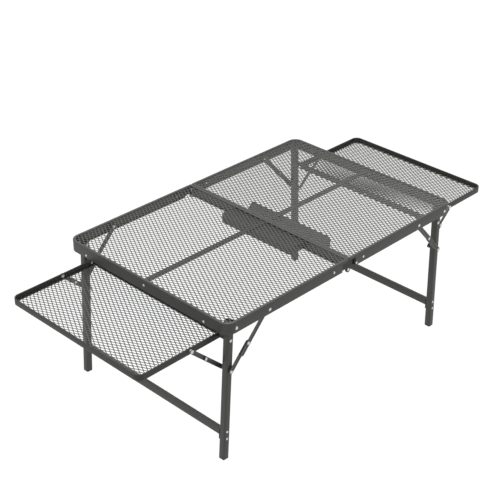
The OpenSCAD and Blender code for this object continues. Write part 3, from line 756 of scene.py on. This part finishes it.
def tube_part(outline, bottom, top, wall, hollow):
    """A tube whose upper end is open: the outline goes up the outside, over the rim and down
    the inside, and is closed at the hollow's floor."""
    edge = wall / 4
    return lofted(outline, [(edge, bottom), (0, bottom + edge), (0, top - edge), (edge, top),
                            (wall - edge, top), (wall, top - edge), (wall, top - hollow)])


class TABLE_OT_legs(Operator):
    """Make the leg tubes and their foot caps"""

    bl_idname = "grill_table.legs"
    bl_label = "Legs and feet"

    def execute(self, context):
        leg = settings("table_leg")
        origin, across, up = leg_axes()
        out_y, in_y = span("right_far_leg")[1][1], span("right_far_leg")[0][1]
        middle = origin + np.array([0, -(out_y + in_y) / 2, 0])
        dip = leg.size / 2 * abs(up[0])
        bottom = (span("right_far_leg")[0][2] + dip - origin[2]) / up[2]
        square = rounded_rectangle(leg.size, leg.size, leg.corner)
        tube = placed(tube_part(square, bottom, leg.head, leg.wall, leg.hollow),
                      middle, across, (0, 1, 0), up)
        floor = -origin[2] / up[2] - dip
        angle = np.linspace(QUARTER, 0, 6)
        sole = np.stack([1 - np.cos(angle), 1 - np.sin(angle)], axis=1) * leg.foot_r
        stations = [*(sole + (0, floor)), (0, bottom - HAIR), (leg.plug_gap, bottom - HAIR),
                    (leg.plug_gap, bottom + leg.plug)]
        points, faces = placed(lofted(square, stations), middle, across, (0, 1, 0), up)
        points[:, 2] = np.maximum(points[:, 2], 0)
        feet = joined(near_and_far((points, faces)))
        for side in SIDES:
            for row, part in zip(("near", "far"), near_and_far(tube)):
                make_on(side, f"{row}_tube", part, "legs", f"{row}_leg", "frame_paint")
            make_on(side, "feet", feet, "legs", "foot_caps", "black_plastic")
        return {"FINISHED"}


class TABLE_OT_crossbars(Operator):
    """Make the crossbar between the legs of each pair, with its end plates"""

    bl_idname = "grill_table.crossbars"
    bl_label = "Crossbars"

    def execute(self, context):
        leg = settings("table_leg")
        origin, across, up = leg_axes()
        low, high = span("right_crossbar")
        plate_s = ((low[2] + high[2]) / 2 - origin[2]) / up[2]
        plate_h = (high[2] - low[2] - leg.size * abs(up[0])) / up[2]
        bar_s = plate_s + (plate_h - leg.bar_h) / 2
        bar_outline = rounded_rectangle(leg.bar_t, leg.bar_h, leg.corner)
        edge = leg.wall / 4
        inner = high[1] - leg.plate_t
        bar = placed(lofted(bar_outline, [(0, -inner - edge), (0, inner + edge)]),
                     origin + bar_s * up, across, up, (0, 1, 0))
        plate_outline = rounded_rectangle(leg.size, plate_h, leg.plate_r)
        plate = placed(lofted(plate_outline, [(edge, -high[1]), (0, edge - high[1]),
                                              (0, -inner - edge), (edge, -inner)]),
                       origin + plate_s * up, across, up, (0, 1, 0))
        stretcher = joined([bar] + near_and_far(plate))
        for side in SIDES:
            make_on(side, "stretcher", stretcher, "legs", "crossbar", "frame_paint")
        return {"FINISHED"}


# Links


def link_part(start, end, y0, y1, width, tail=0.0):
    """A stamped link on one side: a stadium with rounded edges and a pressed middle on each
    face, from start to end in the XZ plane and between two distances across the table."""
    link = settings("table_link")
    run = np.linalg.norm(end - start)
    outline = stadium(run + tail, width / 2)
    rim, slope, depth, bevel = link.rib_inset, link.rib_slope, link.rib_depth, link.bevel
    stations = [(rim + slope, y0 + depth), (rim, y0), (bevel, y0), (0, y0 + bevel),
                (0, y1 - bevel), (bevel, y1), (rim, y1), (rim + slope, y1 - depth)]
    way = (end - start) / run
    return placed(lofted(outline, stations), (start[0], 0, start[1]), (way[0], 0, way[1]),
                  (-way[1], 0, way[0]), (0, 1, 0))


def make_links(side, name, start, end, width, tail=0.0):
    """Makes the near and far links of one kind as a piece, each between the near and far face
    of its own CAD solid."""
    node = f"{name[:-1]}_links"
    parts = [link_part(start, end, low[1], high[1], width, tail)
             for low, high in solids(f"{side}_{node}")]
    make_on(side, name, joined(parts), name, node, "link_paint")


class TABLE_OT_knee_braces(Operator):
    """Make the links of the knee braces between the rails and the legs"""

    bl_idname = "grill_table.knee_braces"
    bl_label = "Knee braces"

    def execute(self, context):
        rail, leg = joint_place("right_knee_upper_turn"), joint_place("right_knee_lower_turn")
        knee = pin_place("right_knee_rivets")
        width, tail = settings("table_link").knee_w, settings("table_link").tail
        for side in SIDES:
            make_links(side, "knee_uppers", rail, knee, width, tail)
            make_links(side, "knee_lowers", leg, knee, width)
        return {"FINISHED"}


class TABLE_OT_shelf_braces(Operator):
    """Make the links of the braces between the legs and the shelves"""

    bl_idname = "grill_table.shelf_braces"
    bl_label = "Shelf braces"

    def execute(self, context):
        leg, shelf = joint_place("right_brace_lower_turn"), joint_place("right_brace_upper_turn")
        elbow = pin_place("right_brace_rivets")
        width = settings("table_link").brace_w
        for side in SIDES:
            make_links(side, "brace_lowers", leg, elbow, width)
            make_links(side, "brace_uppers", shelf, elbow, width)
        return {"FINISHED"}


# Shelves


class TABLE_OT_shelves(Operator):
    """Make the rail round each shelf"""

    bl_idname = "grill_table.shelves"
    bl_label = "Shelf rails"

    def execute(self, context):
        sizes = settings("table_shelf")
        steps = settings("table_top").steps
        for side in SIDES:
            low, high = span(f"{side}_shelf_frame")
            part = rail_part(low, high, sizes.inner_corner, sizes.corner, sizes.sheet,
                             sizes.flange, sizes.bead, sizes.bead, sizes.bead_r, steps)
            make_on(side, "shelf_rail", part, "shelf", "shelf_frame", "shelf_paint")
        return {"FINISHED"}


# Rivets and pivots


def dome(height, radius, rows=6):
    """Profile rows of a domed head from its pole: along it grows as one less the cosine and
    its radius as the sine of an angle that goes through a quarter."""
    angle = np.linspace(0, QUARTER, rows)
    return np.stack([height * (1 - np.cos(angle)), radius * np.sin(angle)], axis=1)


def pin_part(low, high, axis, shaft, out_head, in_head, collar=None):
    """A rivet or pivot that fills one CAD solid's box, its outer end furthest from the middle.

    The profile is a dome of the outer head, the shaft, and a dome of the inner head. A head of
    no height leaves the shaft's flat end. collar is (start, end, radius) from the outer end.
    """
    middle = (low + high) / 2
    out = 1 if middle[axis] > 0 else -1
    size = (high - low)[axis]
    head_r = (high - low)[2] / 2
    rows = [dome(out_head, head_r) if out_head else np.array([(0, 0)]),
            [(out_head, shaft)]]
    if collar:
        start, end, radius = collar
        rows.append([(start, shaft), (start, radius), (end, radius), (end, shaft)])
    rows.append([(size - in_head, shaft)])
    inner = dome(in_head, head_r) if in_head else np.array([(0, 0)])
    rows.append(np.stack([size - inner[:, 0], inner[:, 1]], axis=1)[::-1])
    profile = np.concatenate([np.array(row, float) for row in rows])
    start = middle.copy()
    start[axis] = high[axis] if out > 0 else low[axis]
    inward = np.eye(3)[axis] * -out
    return placed(turned(profile, settings("table_rivet").steps), start,
                  np.eye(3)[(axis + 1) % 3], np.eye(3)[(axis + 2) % 3], inward)


def pins_of(node, shaft, out_head, in_head, collar=None):
    """All rivets of a node. One as wide across the table as it is high lies along X, and any
    other along Y."""
    parts = []
    for low, high in solids(node):
        _, width, height = high - low
        axis = 0 if abs(width - height) < HAIR * 20 else 1
        parts.append(pin_part(low, high, axis, shaft, out_head, in_head, collar))
    return joined(parts)


class TABLE_OT_rivets(Operator):
    """Make the domed rivets, bolts and pivots"""

    bl_idname = "grill_table.rivets"
    bl_label = "Rivets and pivots"

    def execute(self, context):
        sizes = settings("table_rivet")
        head, low_head, shaft = sizes.head, sizes.low_head, sizes.shaft
        # The brace pivot's shoulder fills the space between the shelf's rail and its link.
        rail_out = span("right_shelf_frame")[1][1]
        pivot = solids("right_brace_pivots")[0]
        link = solids("right_brace_upper_links")[0]
        outer = -pivot[0][1]
        gap = low_head - sizes.pivot_head
        collar = (outer + link[1][1] + gap, outer - rail_out, sizes.shoulder)
        plans = [
            ("rail_rivets", "half", sizes.thin_shaft, head, head, None),
            ("leg_pivots", "half", shaft, head, head, None),
            ("knee_pivots", "half", shaft, head, sizes.pivot_head, None),
            ("crossbar_rivets", "legs", sizes.thin_shaft, head, 0, None),
            ("brace_bolts", "legs", shaft, low_head, low_head, None),
            ("shelf_pivots", "legs", shaft, head, head, None),
            ("knee_rivets", "knee_uppers", shaft, head, 0, None),
            ("knee_rivet_tails", "knee_lowers", shaft, 0, low_head, None),
            ("shelf_rivets", "shelf", sizes.thin_shaft, sizes.flat_head, sizes.flat_head, None),
            ("brace_pivots", "shelf", shaft, sizes.pivot_head, head, collar),
            ("brace_rivets", "brace_lowers", shaft, head, 0, None),
            ("brace_rivet_tails", "brace_uppers", shaft, 0, low_head, None),
        ]
        for side in SIDES:
            for node, body, radius, out_head, in_head, ring in plans:
                part = pins_of(f"{side}_{node}", radius, out_head, in_head, ring)
                make_piece(f"{side}_{node}_turned", part, f"{side}_{body}", f"{side}_{node}",
                           "bright_steel")
        make_piece("hinge_pins_turned", pins_of("hinge_pins", shaft, head, head), "left_half",
                   "hinge_pins", "bright_steel")
        return {"FINISHED"}


class TABLE_OT_small_parts(Operator):
    """Give the hinge leaves and the bushes the material of their slots"""

    bl_idname = "grill_table.small_parts"
    bl_label = "Leaves and bushes"

    def execute(self, context):
        for side in SIDES:
            # The leaves' near-black finish is partly their coat and partly painted shade of the
            # recess under the bead.
            refinish(f"{side}_hinge_leaves", "leaf_paint")
            refinish(f"{side}_rail_bushes", "black_plastic")
            refinish(f"{side}_leg_bushes", "black_plastic")
        return {"FINISHED"}


# Stage


def seen_rays(tree):
    """A socket that is one for rays from the camera or off a shiny piece, and else nought."""
    rays = add_node(tree, "ShaderNodeLightPath")
    seen = add_node(tree, "ShaderNodeMath", [(0, rays.outputs["Is Camera Ray"]),
                                             (1, rays.outputs["Is Glossy Ray"])],
                    operation="MAXIMUM")
    return seen.outputs[0]


def floor_material(stage):
    """A pale floor. What the camera and shiny pieces see of it is mostly plain white, with a
    share of the lit floor that keeps the shadow."""
    material, tree = new_material("floor")
    share = add_node(tree, "ShaderNodeMath", [(0, seen_rays(tree)), (1, stage.floor_glow)],
                     operation="MULTIPLY")
    lit = add_node(tree, "ShaderNodeBsdfDiffuse", [("Color", [*stage.floor, 1])])
    glow = add_node(tree, "ShaderNodeEmission", [("Color", (1, 1, 1, 1)),
                                                  ("Strength", stage.floor_light)])
    mix = add_node(tree, "ShaderNodeMixShader", [(0, share.outputs[0]), (1, lit.outputs[0]),
                                                 (2, glow.outputs[0])])
    add_node(tree, "ShaderNodeOutputMaterial", [("Surface", mix.outputs[0])])
    return material


def studio_world(stage):
    """Weak light from all round that the camera and shiny pieces see as plain white."""
    world = bpy.data.worlds.new("studio")
    world.use_nodes = True
    tree = world.node_tree
    tree.nodes.clear()
    strength = add_node(tree, "ShaderNodeMapRange",
                        [("Value", seen_rays(tree)), ("To Min", stage.sky), ("To Max", 1.0)])
    glow = add_node(tree, "ShaderNodeBackground",
                    [("Color", (1, 1, 1, 1)), ("Strength", strength.outputs[0])])
    add_node(tree, "ShaderNodeOutputWorld", [("Surface", glow.outputs[0])])
    return world


KEY_SIZE, KEY_PLACE = 2.5, (-0.2, -0.2, 3.8)
FILL_SIZE, FILL_PLACE = 3.0, (-3.6, 1.2, 2.6)
LAMP_TARGET = (0, 0, 0.3)


def soft_lamp(name, power, size, place):
    """A square lamp at a place, facing the table."""
    data = bpy.data.lights.new(name, "AREA")
    data.energy, data.size = power, size
    lamp = bpy.data.objects.new(name, data)
    bpy.context.scene.collection.objects.link(lamp)
    back = unit(np.array(place, float) - np.array(LAMP_TARGET, float))
    right = unit(np.cross((0, 0, 1), back))
    turn_to(lamp, right, np.cross(back, right), back, place)
    return lamp


def turn_to(thing, right, up, back, place):
    """Places an object with its axes along three directions."""
    axes = np.eye(4)
    axes[:3] = np.array([right, up, back, place]).T
    thing.matrix_world = Matrix(axes.tolist())


CAMERA_PLACE = (-2.184, -2.030, 2.066)
CAMERA_TURN, CAMERA_RISE, CAMERA_ROLL = -0.80756, 0.5283, 0.0123
CAMERA_REACH = 50
FOCAL_PIXELS = 1236.22
PIXEL_SIDE = 500
SENSOR = 36


def camera_axes():
    """The camera's right, up and back directions: right lies level at the turn, back rises
    from it, and both right and up are rolled about back."""
    a, e, r = CAMERA_TURN, CAMERA_RISE, CAMERA_ROLL
    right = np.array([math.cos(a), math.sin(a), 0])
    back = np.array([math.sin(a) * math.cos(e), -math.cos(a) * math.cos(e), math.sin(e)])
    up = np.cross(back, right)
    return (math.cos(r) * right + math.sin(r) * up, math.cos(r) * up - math.sin(r) * right,
            back)


def photo_camera():
    """The camera that the photograph was fitted with."""
    data = bpy.data.cameras.new("camera")
    data.sensor_width = SENSOR
    data.lens = FOCAL_PIXELS * SENSOR / PIXEL_SIDE
    data.clip_end = CAMERA_REACH
    camera = bpy.data.objects.new("camera", data)
    bpy.context.scene.collection.objects.link(camera)
    turn_to(camera, *camera_axes(), CAMERA_PLACE)
    return camera


class TABLE_OT_stage(Operator):
    """Make the floor, the light and the camera"""

    bl_idname = "grill_table.stage"
    bl_label = "Stage"

    def execute(self, context):
        stage = settings("table_stage")
        scene = context.scene
        reach = stage.floor_size
        mesh = bpy.data.meshes.new("floor")
        mesh.from_pydata([(-reach, -reach, 0), (reach, -reach, 0), (reach, reach, 0),
                          (-reach, reach, 0)], [], [(0, 1, 2, 3)])
        mesh.materials.append(floor_material(stage))
        floor = bpy.data.objects.new("floor", mesh)
        scene.collection.objects.link(floor)
        key = soft_lamp("key", stage.key, KEY_SIZE, KEY_PLACE)
        fill = soft_lamp("fill", stage.fill, FILL_SIZE, FILL_PLACE)
        scene.world = studio_world(stage)
        scene.camera = photo_camera()
        scene.view_settings.view_transform = "Standard"
        return {"FINISHED"}


OPERATORS = [
    TABLE_OT_top_rails, TABLE_OT_nets, TABLE_OT_supports, TABLE_OT_legs, TABLE_OT_crossbars,
    TABLE_OT_knee_braces, TABLE_OT_shelf_braces, TABLE_OT_shelves, TABLE_OT_rivets,
    TABLE_OT_small_parts, TABLE_OT_stage,
]


class TABLE_PT_maker(Panel):
    """Lists the pieces and their settings"""

    bl_label = "Folding grill table"
    bl_idname = "TABLE_PT_maker"
    bl_space_type = "VIEW_3D"
    bl_region_type = "UI"
    bl_category = "Grill table"

    def draw(self, context):
        for operator in OPERATORS:
            self.layout.operator(operator.bl_idname)
        for name, group in SETTINGS.items():
            box = self.layout.box()
            for key in group.__annotations__:
                box.prop(getattr(context.scene, name), key)


def register():
    for cls in [*SETTINGS.values(), *OPERATORS, TABLE_PT_maker]:
        bpy.utils.register_class(cls)
    for name, group in SETTINGS.items():
        setattr(bpy.types.Scene, name, PointerProperty(type=group))


def unregister():
    for name in SETTINGS:
        delattr(bpy.types.Scene, name)
    for cls in [TABLE_PT_maker, *reversed(OPERATORS), *SETTINGS.values()]:
        bpy.utils.unregister_class(cls)


def main():
    """Makes every piece and the stage."""
    register()
    for operator in OPERATORS:
        group, name = operator.bl_idname.split(".")
        getattr(getattr(bpy.ops, group), name)()


if __name__ == "__main__":
    main()
